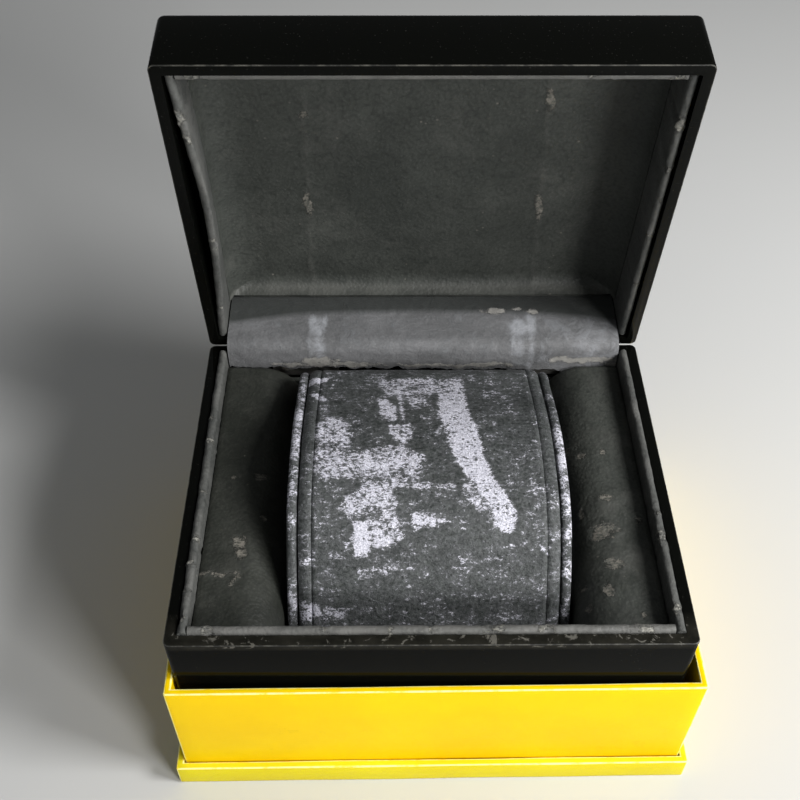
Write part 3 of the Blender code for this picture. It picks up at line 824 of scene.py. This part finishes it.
def padPath(node, side):
    # section from the wall over the rounding down into the well, as (x, z)
    low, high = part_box(node)
    wallX = high.x if side > 0 else low.x
    wellX = low.x if side > 0 else high.x
    roundWidth = abs(wallX - wellX) - padValues["flat"]
    path = [(wallX, high.z)]
    for i in range(1, 9):
        path.append((wallX - side * padValues["flat"] * i / 9, high.z))
    for i in range(13):
        angle = math.pi / 2 * i / 12
        path.append((wallX - side * (padValues["flat"] + roundWidth * math.sin(angle)),
                     high.z - padValues["fall"] * (1 - math.cos(angle))))
    bottom = low.z + gap
    for i in range(1, 7):
        path.append((wellX, high.z - padValues["fall"]
                     + (bottom - high.z + padValues["fall"]) * i / 6))
    return path


def crackLine(x, y):
    # 1 on the crack across the left pad and its short branch
    wobble = 0.0006 * math.sin(x * 900) + 0.0004 * math.sin(x * 2300)
    width, (low, high) = padValues["crackWidth"], padValues["branchReach"]
    main = fade(y - padValues["crackY"] - wobble, width) if x < padValues["crackEnd"] else 0.0
    branchX = padValues["branchX"] + 0.0010 * math.sin(y * 700)
    branch = fade(x - branchX, width) if low < y < high else 0.0
    return max(main, branch)


# bare spots on the pads in millimetres: x, y, half width, half length
padMarks = {"padLeft": [(-55.2, 5.2, 3, 1.6), (-60, -21.5, 2.2, 2.6), (-58.5, -26.2, 1.6, 2),
                        (-64, 4.5, 0.9, 0.8), (-53, -11.5, 1, 1)],
            "padRight": [(59.2, -5, 3, 1.6), (56, -17.8, 4.2, 3), (57.6, -30, 2.4, 2.2),
                         (68, -13.6, 1.4, 1.6), (54.8, -39.5, 1.5, 2.8), (60, 14.5, 0.8, 1.2),
                         (53, 14, 1.4, 1.4), (48.5, 19, 1.2, 1.2), (50.3, -9.5, 0.6, 2.6),
                         (49, -43.5, 1.2, 2), (48, -36, 1, 1.2), (64, -48, 1, 0.9)]}


def sidePad(node, name, side, seed):
    low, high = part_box(node)
    path = resample(padPath(node, side), padValues["step"])
    rows = round((high.y - low.y) / padValues["step"])
    points, columns = [], len(path)
    for r in range(rows + 1):
        y = low.y + (high.y - low.y) * r / rows
        edge = min(y - low.y, high.y - y)
        for c, (x, z) in enumerate(path):
            inset = min(edge, (c + 0.5) * padValues["step"])
            drop = padValues["edgeDrop"] * fade(inset, padValues["edgeReach"]) ** 2
            swell = padValues["swell"] * fractal((x, y, z), 0.022, seed)
            swell += padValues["pucker"] * fractal((x, y, z), 0.004, seed + 9)
            if side < 0:
                grain = fractal((x, y, 0), 0.0016, 2.0)
                swell += 2 * padValues["crackDepth"] * crackLine(x, y) * grain
            mark = spots(x, y, padMarks[name], seed)
            swell += padValues["curl"] * curl(mark) - padValues["flake"] * (mark > 0.5)
            points.append((x, y, z - drop + min(swell, padValues["swell"])))
    piece = makeMesh(name, points, gridFaces(rows + 1, columns))
    faceOut(piece)
    turnFaces(piece, 1)

    def bare(co):
        value = spots(co.x, co.y, padMarks[name], seed)
        if side < 0:
            value = max(value, 0.95 * crackLine(co.x, co.y))
        return value * 0.95
    paint(piece, "wearAndHighlight", lambda co: 0.10 + 0.30 * fractal(co, 0.016, seed + 2)
          + (0.4 * crackLine(co.x, co.y) if side < 0 else 0.06))
    paint(piece, "bare", bare)
    # painted shade: the left pad gets the darker copy of the leather
    makePadded(piece, padValues["thickness"], paintedShadeLeather if side < 0 else padLeather,
               "box", "grey_leatherette", node)


sidePad("pad_left", "padLeft", -1, 1.7)
sidePad("pad_right", "padRight", 1, 5.2)
print("side pads done")


# padded ceiling of the lid

ceilingValues = {"cove": 0.0140, "coveDepth": 0.0085, "rearCove": 0.0062, "rearDepth": 0.0056,
                 "step": 0.0011, "thickness": 0.0018, "wave": 0.00030, "pucker": 0.00007,
                 "crease": 0.00018, "flake": 0.00015}

# faint creases up the ceiling: x at the front, x at the rear, then bare flecks as y, half length
ceilingCreases = [(-0.0378, -0.0408, [(0.0150, 0.0060), (-0.0240, 0.0016)]),
                  (0.0366, 0.0410, [(-0.0292, 0.0050), (0.0166, 0.0070)])]


def creaseAt(x, y):
    near, fleck = 0.0, 0.0
    for front, rear, flecks in ceilingCreases:
        line = front + (rear - front) * (y + 0.055) / 0.110 + 0.0004 * math.sin(y * 400)
        share = fade(x - line, 0.0014)
        near = max(near, share)
        wide = max(0.0, 1.3 - abs(x - line) / 0.0017)
        for place, half in flecks:
            fleck = max(fleck, min(1.0, wide * max(0.0, 1.35 - abs(y - place) / half)))
    return near, fleck


def lidCeiling():
    values = ceilingValues
    low, high = closedBox("lid_pad")
    ceiling = high.z - 0.0022
    columns = round((high.x - low.x) / values["step"]) + 1
    rows = round((high.y - low.y) / values["step"]) + 1

    def cove(distance, width, depth):
        share = fade(distance, width)
        return depth * (1 - math.sqrt(max(0.0, 1 - share * share)))
    points = []
    for r in range(rows):
        y = low.y + (high.y - low.y) * r / (rows - 1)
        for c in range(columns):
            x = low.x + (high.x - low.x) * c / (columns - 1)
            drop = max(cove(min(x - low.x, high.x - x), values["cove"], values["coveDepth"]),
                       cove(y - low.y, values["cove"] * 0.7, values["coveDepth"]),
                       cove(high.y - y, values["rearCove"], values["rearDepth"]))
            wave = values["wave"] * fractal((x, y, 0), 0.030, 3.3)
            wave += values["pucker"] * fractal((x, y, 0), 0.004, 8.1)
            crease, fleck = creaseAt(x, y)
            wave += values["crease"] * crease
            wave += values["flake"] * fleck * fractal((x, y, 0), 0.0016, 2.0)
            points.append((x, y, ceiling - drop - wave))
    piece = makeMesh("lidCeiling", points, gridFaces(rows, columns))
    turnFaces(piece, -1)
    # painted highlight: a paler band just inside the rear edge, where the ceiling's roll catches light;
    # the rest of the mask is wear from noise and creases
    paint(piece, "wearAndHighlight", lambda co: 0.06 + 0.20 * fractal(co, 0.02, 6.0)
          + 0.25 * creaseAt(co.x, co.y)[0] + 0.5 * fade(high.y - co.y - 0.0010, 0.0016))
    paint(piece, "bare", lambda co: 0.92 * creaseAt(co.x, co.y)[1])
    makePadded(piece, values["thickness"], lining, "lid", "grey_leatherette", "lid_pad")


lidCeiling()
print("lid ceiling done")


# cloth flap over the hinge

# above a given length up the lid part, the flap dips back into the gap and its cloth is painted darker as
# shade
flapValues = {"radius": 0.0049, "baseLength": 0.0070, "lidLength": 0.0205, "thickness": 0.0005,
              "step": 0.0008, "ragged": 0.0013, "raggedReach": 0.0050, "slant": 0.0024,
              "dipAndShadeStart": 0.0124, "dip": 0.0014, "wave": 0.00020, "pucker": 0.00012, "curl": 0.00016}

# marks on the flap in millimetres: x, height above its bend (minus: below it), half width, half length
flapTears = [(-38.5, -3.4, 8, 2), (-32, -5.2, 15, 1.4), (-48, -5.2, 7, 1), (60, -3, 14, 1.1),
             (69, -4.8, 4, 1), (50, -2.2, 3, 1.2), (26, 11.8, 5, 1.5), (34, 12.8, 2.4, 0.8),
             (40, 11.4, 2.6, 1.2), (8, -5.4, 20, 0.7), (25, -4.8, 9, 0.9)]
flapRubs = [(-40.2, 5.5, 1.4, 5), (-37.6, 2.8, 2.6, 4.5), (-35.5, 7.5, 1, 3), (39, 5, 1.6, 7),
            (35, 4, 4, 4)]


def hingeFlap():
    values = flapValues
    low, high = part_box("hinge_flap")
    radius = values["radius"]
    path = [(-radius, -values["baseLength"])]
    for i in range(13):
        angle = openAngle * i / 12
        path.append((-radius * math.cos(angle), radius * math.sin(angle)))
    path.append((path[-1][0] + values["lidLength"] * math.sin(openAngle),
                 path[-1][1] + values["lidLength"] * math.cos(openAngle)))
    path = resample(path, values["step"])
    length = sum(math.dist(a, b) for a, b in zip(path, path[1:]))
    width = high.x - low.x - 0.0004
    columns = round(width / values["step"]) + 1
    bendEnd = values["baseLength"] + radius * openAngle
    points, heights = [], []
    for r, (y, z) in enumerate(path):
        run = length * r / (len(path) - 1)
        height = run - bendEnd if run > bendEnd else min(0.0, run - values["baseLength"])
        out = normalOut(path, r)
        for c in range(columns):
            x = -width / 2 + width * c / (columns - 1)
            near = fade(run, values["raggedReach"])
            tear = fractal((x, 0, 0), 0.0055, 2.2) + 0.5 * fractal((x, 0, 0), 0.0016, 7.2)
            tear = (values["ragged"] * tear - values["slant"] * (x / width + 0.2)) * near
            lift = values["wave"] * fractal((x, y, z), 0.012, 4.4)
            lift += values["pucker"] * fractal((x, y, z), 0.003, 1.0)
            lift += values["curl"] * curl(spots(x, height, flapTears, 1.0))
            top = max(0.0, height - values["dipAndShadeStart"]) / (values["lidLength"] - values["dipAndShadeStart"])
            lift -= values["dip"] * top ** 1.5
            points.append((x, hingePoint.y + y + out[0] * lift,
                           hingePoint.z + z + out[1] * lift + tear))
            heights.append(height)
    piece = makeMesh("hingeFlapCloth", points, gridFaces(len(path), columns))

    # painted shade: the cloth is painted darker towards its top end, the edge bowing lower at both ends,
    # where the ceiling's roll shades it
    def soilAndPaintedShade(x, height):
        return (height - values["dipAndShadeStart"] + 0.0050 * abs(x / 0.07) ** 3 + 0.0028) / 0.0042

    # rub marks, plus painted light: the right end of the flap is painted paler, where light falls from
    # the right
    def rubAndPaintedLight(x, height):
        return 0.62 * spots(x, height, flapRubs, 5.0) + 0.22 * min(1.0, max(0.0, (x - 0.030) / 0.030))

    def bare(x, height):
        return 1.10 * spots(x, height, flapTears, 3.0)
    for name, value in (("soilAndPaintedShade", soilAndPaintedShade), ("bare", bare), ("rubAndPaintedLight", rubAndPaintedLight)):
        paintList(piece, name, [value(point[0], height) for point, height in zip(points, heights)])
    turnFaces(piece, 1)
    thicken(piece, values["thickness"])
    smooth(piece, 60)
    dress(piece, flapCover)
    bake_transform(piece)
    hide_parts("hinge_flap")


hingeFlap()
print("hinge flap done")


# watch saddle

saddleValues = {"step": 0.00062, "thickness": 0.0014, "stitchInset": 0.0032, "groove": 0.00034,
                "grooveWidth": 0.0008, "ridge": 0.00012, "edgeDrop": 0.0007, "edgeReach": 0.0014,
                "wave": 0.00022, "pucker": 0.00007, "worn": 0.00010, "pipingStep": 0.0009,
                "pipingRadius": 0.0011, "pipingWave": 0.00016, "startAngle": 199.5, "endAngle": -3.5}

# peeled areas of the face in millimetres: strength, softness of the edge, outline
peelAreas = [
    (0.84, 2.6, [(-16, 40.5), (-6, 42), (13.5, 41.5), (13.8, 31), (3, 31.5), (-2, 30.5), (-12, 30),
                 (-15, 33)]),
    (0.98, 1.4, [(4.4, 32), (13.8, 32), (14.2, 24), (15.2, 16), (16.7, 8), (17.8, 0), (20.4, -8),
                 (24.4, -14.5), (27.8, -21), (26.2, -24.4), (22, -25), (19.6, -20), (14.2, -12),
                 (10, -5), (7.8, 1), (6.2, 9), (4, 18)]),
    (0.90, 1.6, [(-16.5, 27.5), (-13, 28), (-9.6, 22), (-9.6, 15.6), (-12.5, 14.5), (-15.2, 19)]),
    (0.70, 1.2, [(-10, 31), (-8, 29), (-6.6, 18), (-7, 14), (-8.8, 16), (-9.2, 24)]),
    (0.66, 2.0, [(-7, 30), (2, 30), (0, 22), (-5, 21)]),
    (0.86, 3.4, [(-36, 13), (-30, 19), (-25, 13), (-24.5, 5), (-26, 2), (-21, 0.5), (-20, -8),
                 (-25, -9.6), (-33, -9.6), (-36, -5), (-35.4, 3)]),
    (0.60, 3.0, [(-36, 25), (-30, 24), (-28, 16), (-35.6, 15)]),
    (0.84, 2.6, [(-20.5, 1.5), (-15, 4), (-8, 3.4), (-1, -0.5), (-2, -3.6), (-3, -9.4), (-9, -10.8),
                 (-11, -13), (-10, -17.5), (-11, -22), (-19, -21), (-28, -19), (-26, -15),
                 (-21, -12), (-22, -6)]),
    (0.72, 1.4, [(-13.5, 13.5), (-5, 14), (-4, 7), (-8, 3), (-12, 7)]),
    (0.74, 2.0, [(-19, -21), (-9, -21), (-7.4, -25.6), (-12, -28.6), (-17.5, -28)]),
    (1.15, 0.8, [(-23.2, -22), (-19, -22.2), (-18, -26), (-18.6, -29.6), (-23, -29.6)]),
    (0.62, 1.2, [(-9.5, -10), (8, -10.4), (11, -13.4), (3, -13), (-3, -13.4), (-9, -12.6)]),
    (0.86, 1.2, [(-6, -19.8), (1.5, -20.2), (3, -23.2), (-5, -24.4)]),
    (0.66, 1.0, [(2, -20), (8.5, -22.3), (2, -22.8)]),
    (0.62, 1.4, [(10, -10), (14, -12), (19, -20), (15, -20), (10.5, -15)]),
    (1.00, 1.0, [(-40, 42.4), (-33.5, 42), (-34, 39.4), (-40, 37.6)]),
    (0.62, 1.0, [(-32, 41.6), (-27, 40.6), (-28, 39.2), (-32.4, 39.8)]),
    (0.82, 0.7, [(-39, 32), (-36, 31.2), (-32.4, 26.8), (-34.6, 26), (-38.6, 29.6)]),
    (0.98, 1.2, [(-39.6, -38.4), (-34.5, -38.6), (-33, -40.8), (-39.2, -42.2)]),
    (0.68, 1.2, [(-33, -38.8), (-24.6, -39.6), (-27, -41.6), (-33, -41.4)]),
    (0.72, 0.5, [(36.3, 21.6), (37.1, 21.4), (36.4, 13.4), (35.0, 12.0), (34.2, 14.2), (35.2, 13.4)]),
    (0.66, 0.7, [(20, -28.4), (24, -27.2), (30, -26.4), (30, -27.2), (24, -28.2)]),
    (0.95, 0.7, [(34, -27.6), (36.4, -28.4), (37, -29.8), (34.8, -29.4)]),
    (0.60, 1.0, [(31.4, -8), (32.8, -9), (32.6, -12.4), (31, -12)]),
    (0.60, 1.6, [(-26.6, 19), (-23, 16), (-22.4, 13), (-25, 13.8)]),
    (0.52, 2.4, [(-40, -21), (-33, -22), (-25, -20.4), (-29, -18.8), (-38, -19.6)]),
    (0.60, 1.2, [(15, 41), (18, 40.6), (17.6, 38.6), (15, 39)]),
    (0.50, 1.4, [(17, 20), (20, 20), (20, 18), (17, 18)]),
    (0.50, 2.4, [(28, 38), (34, 36), (33, 31), (29, 33)]),
    (0.48, 2.0, [(20, 17.6), (24, 18), (24, 9), (21.4, 9)]),
    (0.50, 1.6, [(-24, -32), (-8, -30.6), (-9, -33), (-20, -35)]),
    (0.50, 1.0, [(27, -31), (28, -31), (30.4, -36.6), (29.4, -36.6)]),
    (0.55, 1.2, [(-34, -36.2), (-27, -35.8), (-26.6, -37), (-34, -37)]),
    (0.55, 1.4, [(4, 13), (6, 15.4), (5.4, 9.6), (2, 9)]),
    (0.15, 6.0, [(-36, 24), (-20, 42), (16, 44), (20, 0), (29, -22), (10, -26), (-25, -30), (-38, -10)]),
]


def peelAt(x, y):
    value = 0.0
    for strength, soft, outline in peelAreas:
        depth = inside(x * 1000, y * 1000, outline)
        if depth > -soft:
            value = max(value, strength * min(1.0, 0.5 + 0.5 * depth / soft))
    return value


def traceOutline(node, step, count=400):
    # outside of a saddle node, found from rays that point at its middle
    first, last = saddleValues["startAngle"], saddleValues["endAngle"]
    source = frame["nodes"][node]
    tree = BVHTree.FromPolygons([vertex.co for vertex in source.data.vertices],
                                [list(face.vertices) for face in source.data.polygons])
    centre = Vector((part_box(node)[0].x + 0.0015, 0.0, rimZ - 0.022))
    path = []
    for i in range(count + 1):
        angle = math.radians(first + (last - first) * i / count)
        direction = Vector((0.0, math.cos(angle), math.sin(angle)))
        hit = tree.ray_cast(centre + direction * 0.2, -direction)[0]
        if hit is not None:
            path.append((hit.y, hit.z))
    return resample(path, step)


def saddleFace():
    values = saddleValues
    path = traceOutline("saddle_face", values["step"])
    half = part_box("saddle_face")[1].x
    columns = round(2 * half / values["step"]) + 1
    points, peels = [], []
    for r, (y, z) in enumerate(path):
        out = normalOut(path, r)
        for c in range(columns):
            x = -half + 2 * half * c / (columns - 1)
            peels.append(peelAt(x, y))
            edge = half - abs(x)
            lift = -values["edgeDrop"] * fade(edge, values["edgeReach"]) ** 2
            line = abs(edge - values["stitchInset"])
            lift -= values["groove"] * fade(line, values["grooveWidth"])
            lift += values["ridge"] * fade(line - 0.0012, 0.0010)   # beside the groove
            lift += values["wave"] * fractal((x, y, z), 0.016, 0.7)
            lift += values["pucker"] * fractal((x, y, z), 0.0022, 5.5)
            lift -= values["worn"] * min(1.0, max(0.0, peels[-1] - 0.4) * 3)
            points.append((x, y + out[0] * lift, z + out[1] * lift))
    piece = makeMesh("saddleFacePad", points, gridFaces(len(path), columns))
    turnFaces(piece, 1)
    paintList(piece, "peel", [peel + 0.10 * fractal(vertex.co, 0.005, 3.9)
                              for peel, vertex in zip(peels, piece.data.vertices)])
    makePadded(piece, values["thickness"], saddleCover, "saddle", "saddle_leatherette",
               "saddle_face")
    return path, half


def makePiping(side):
    node = "saddle_piping_" + side
    low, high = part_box(node)
    sign = -1 if side == "left" else 1
    outer = low.x if sign < 0 else high.x
    width = high.x - low.x
    path = traceOutline(node, saddleValues["pipingStep"])
    radius = saddleValues["pipingRadius"]
    points, sides = [], 14
    for r, (y, z) in enumerate(path):
        out = normalOut(path, r)
        for k in range(sides):
            angle = 2 * math.pi * k / sides
            x = outer - sign * width * (0.5 - 0.5 * math.cos(angle))
            lift = radius * math.sin(angle) - radius
            lift += saddleValues["pipingWave"] * fractal((x, y, z), 0.006, 1.4 + sign)
            points.append((x, y + out[0] * lift, z + out[1] * lift))
    faces = [(r * sides + k, r * sides + (k + 1) % sides, (r + 1) * sides + (k + 1) % sides,
              (r + 1) * sides + k) for r in range(len(path) - 1) for k in range(sides)]
    faces += [tuple(range(sides)), tuple((len(path) - 1) * sides + k for k in range(sides))]
    piece = makeMesh("saddlePiping_" + side, points, faces)
    faceOut(piece)
    middle = 0.012 if sign < 0 else -0.006
    paint(piece, "peel", lambda co: 0.30 + 0.26 * fractal(co, 0.008, 2.0 + sign)
          + 0.34 * fade(co.y - middle, 0.034))
    smooth(piece, 60)
    dress(piece, saddleCover)
    settle(piece, "saddle", "saddle_leatherette", node)


stitchValues = {"length": 0.0020, "pitch": 0.0029, "radius": 0.00022, "sunk": 0.00022}


def saddleStitches(path, half):
    # one stitch, copied along both seams
    values = stitchValues
    deselect()
    bpy.ops.mesh.primitive_uv_sphere_add(segments=8, ring_count=6, radius=values["radius"])
    first = bpy.context.object
    first.scale = (1.0, values["length"] / values["radius"] / 2, 1.0)
    bpy.ops.object.transform_apply(location=False, rotation=False, scale=True)
    seam = resample(path, values["pitch"])
    copies = []
    for sign in (-1, 1):
        for i in range(1, len(seam) - 1):
            out = normalOut(seam, i)
            place = Vector((sign * (half - saddleValues["stitchInset"]),
                            seam[i][0] - out[0] * values["sunk"], seam[i][1] - out[1] * values["sunk"]))
            turn = math.atan2(out[1], out[0]) - math.pi / 2
            copy = first.copy()
            copy.data = first.data.copy()
            copy.data.transform(Matrix.Translation(place) @ Matrix.Rotation(turn, 4, 'X'))
            bpy.context.collection.objects.link(copy)
            copies.append(copy)
    bpy.data.objects.remove(first)
    deselect()
    for copy in copies:
        copy.select_set(True)
    bpy.context.view_layer.objects.active = copies[0]
    bpy.ops.object.join()
    piece = bpy.context.object
    piece.name = "saddleStitches"
    smooth(piece, 60)
    dress(piece, threadLook())
    settle(piece, "saddle", "saddle_leatherette")


def threadLook():
    made = Finish("darkThread")
    twist = made.noise(2600.0, 2.0, stretch=(1.0, 0.4, 1.0), turn=(0.6, 0.0, 0.0))
    tone = made.stain((0.010, 0.011, 0.011), twist, 0.35, 0.65, (0.045, 0.047, 0.046))
    return made.finish(tone, 0.7, (twist, 0.00008))


facePath, faceHalf = saddleFace()
makePiping("left")
makePiping("right")
saddleStitches(facePath, faceHalf)
print("saddle done")


# nodes that stay as they are, with a better finish

for name, node in frame["nodes"].items():
    if node.hide_render:
        continue
    if name.startswith(("hinge_", "base_screw", "lid_screw")):
        dress(node, steel)
    elif name in ("insert_platform", "saddle_core"):
        dress(node, card)
    elif name in ("base_liner_rear", "saddle_lining"):
        dress(node, lining)


# floor, light and camera

studioValues = {"floor": (0.60, 0.60, 0.59), "world": 0.16, "key": 6.5, "side": 14.8, "fill": 0.4}


def addStudio():
    deselect()
    bpy.ops.mesh.primitive_plane_add(size=6, location=(0, 0, -0.0002))
    floor = bpy.context.object
    floor.name = "studioFloor"
    made = Finish("studioFloor")
    soft = made.noise(6.0, 3.0)
    pale = studioValues["floor"]
    made.set("Base Color", made.mix(soft, pale, tuple(value * 0.95 for value in pale)))
    made.set("Roughness", 0.8)
    dress(floor, made.material)
    world = bpy.data.worlds.new("studioWorld")
    world.use_nodes = True
    sky = world.node_tree.nodes["Background"]
    sky.inputs["Color"].default_value = (0.95, 0.98, 1.0, 1.0)
    sky.inputs["Strength"].default_value = studioValues["world"]
    bpy.context.scene.world = world
    for name, place, size, power in (("key", (0.58, -0.19, 0.585), 0.24, studioValues["key"]),
                                     ("side", (0.84, -0.96, 0.62), 0.40, studioValues["side"]),
                                     ("fill", (-0.9, -0.8, 0.8), 1.0, studioValues["fill"])):
        light = bpy.data.lights.new(name, 'AREA')
        light.size = size
        light.energy = power
        lamp = bpy.data.objects.new(name, light)
        lamp.location = place
        aim = Vector((0, 0, 0.08)) - Vector(place)
        lamp.rotation_euler = aim.to_track_quat('-Z', 'Y').to_euler()
        bpy.context.collection.objects.link(lamp)


cameraValues = {"place": (-0.0113, -0.2148, rimZ + 0.2723), "down": 47.56, "aside": 0.63,
                "roll": 0.30, "lens": 47.75}


def addCamera():
    values = cameraValues
    data = bpy.data.cameras.new("camera")
    data.lens = values["lens"]
    data.sensor_width = 36
    data.clip_start = 0.01
    camera = bpy.data.objects.new("camera", data)
    turn = (Matrix.Rotation(-math.radians(values["aside"]), 4, 'Z')
            @ Matrix.Rotation(math.radians(90 - values["down"]), 4, 'X')
            @ Matrix.Rotation(math.radians(values["roll"]), 4, 'Z'))
    camera.matrix_world = Matrix.Translation(values["place"]) @ turn
    bpy.context.collection.objects.link(camera)
    bpy.context.scene.camera = camera


addStudio()
addCamera()
bpy.context.scene.view_settings.view_transform = 'Standard'
print("studio done")
